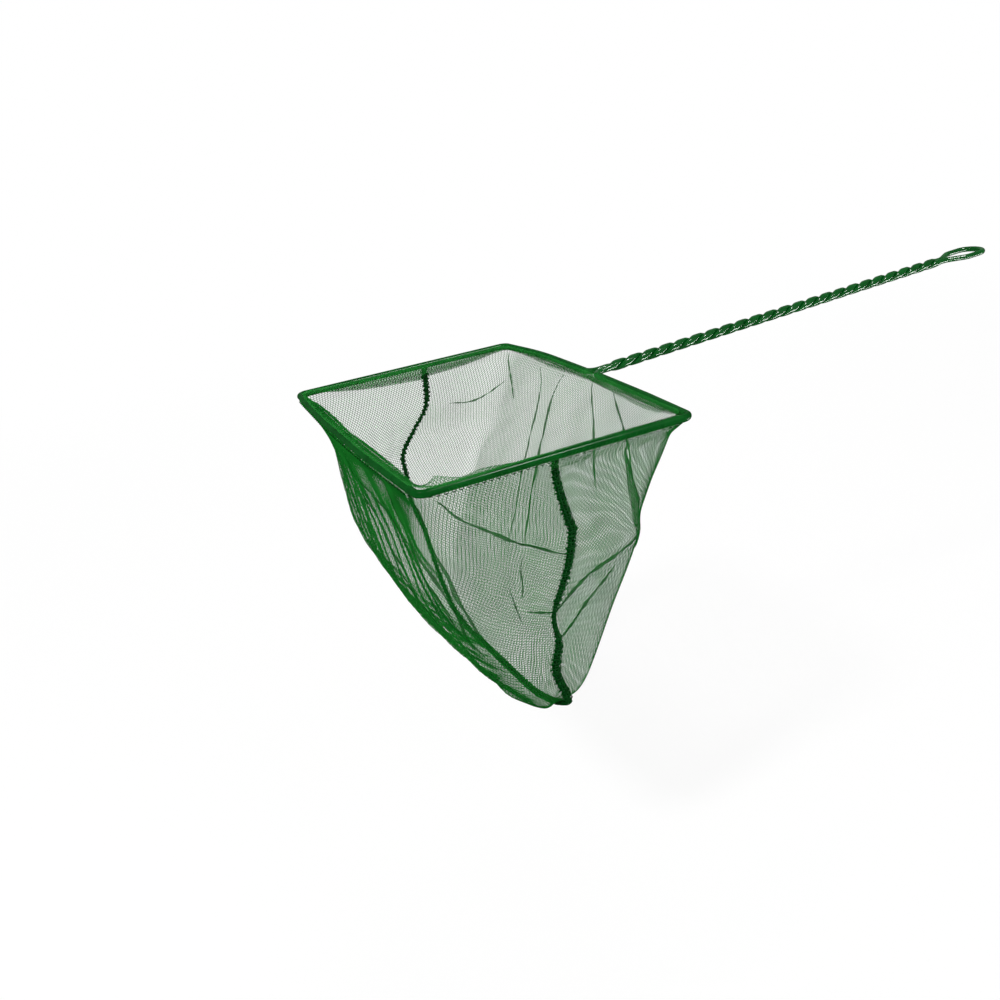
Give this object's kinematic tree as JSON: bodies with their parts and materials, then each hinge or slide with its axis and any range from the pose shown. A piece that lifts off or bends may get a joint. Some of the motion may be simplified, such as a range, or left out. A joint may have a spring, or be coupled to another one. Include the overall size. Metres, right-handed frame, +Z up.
{
  "type": "aquarium fish net",
  "caption": "Hand net for an aquarium: a coated wire hoop on a twisted wire handle, with a fine green mesh bag sewn round the hoop to lift fish out of the water.",
  "frame": {"origin": "on the handle's axis at the grip, where a hand or a clip holds the net", "axes": "+Y runs along the handle away from the hoop, +Z is up, out of the bag's mouth, and the hoop lies level; the handle rises by 3 degrees from the hoop's plane"},
  "size_m": [0.1542, 0.3319, 0.1242],
  "materials": {
    "coating": "glossy dark green plastic coating",
    "core": "drawn steel wire",
    "mesh": "fine knitted mesh, dark green yarn",
    "hem": "doubled mesh round the wire",
    "seam_thread": "dense overlock stitching"
  },
  "bodies": {
    "root": {"left_hoop_coating": "coating", "right_hoop_coating": "coating", "left_strand_coating": "coating", "right_strand_coating": "coating", "eye_coating": "coating", "splice_sleeve": "coating", "left_hoop_core": "core", "right_hoop_core": "core", "left_strand_core": "core", "right_strand_core": "core", "eye_core": "core", "front_panel": "mesh", "rear_panel": "mesh", "front_hem": "hem", "rear_left_hem": "hem", "rear_right_hem": "hem", "left_front_hem": "hem", "left_rear_hem": "hem", "right_front_hem": "hem", "right_rear_hem": "hem", "left_seam": "seam_thread", "right_seam": "seam_thread", "bottom_seam": "seam_thread"}
  },
  "joints": []
}
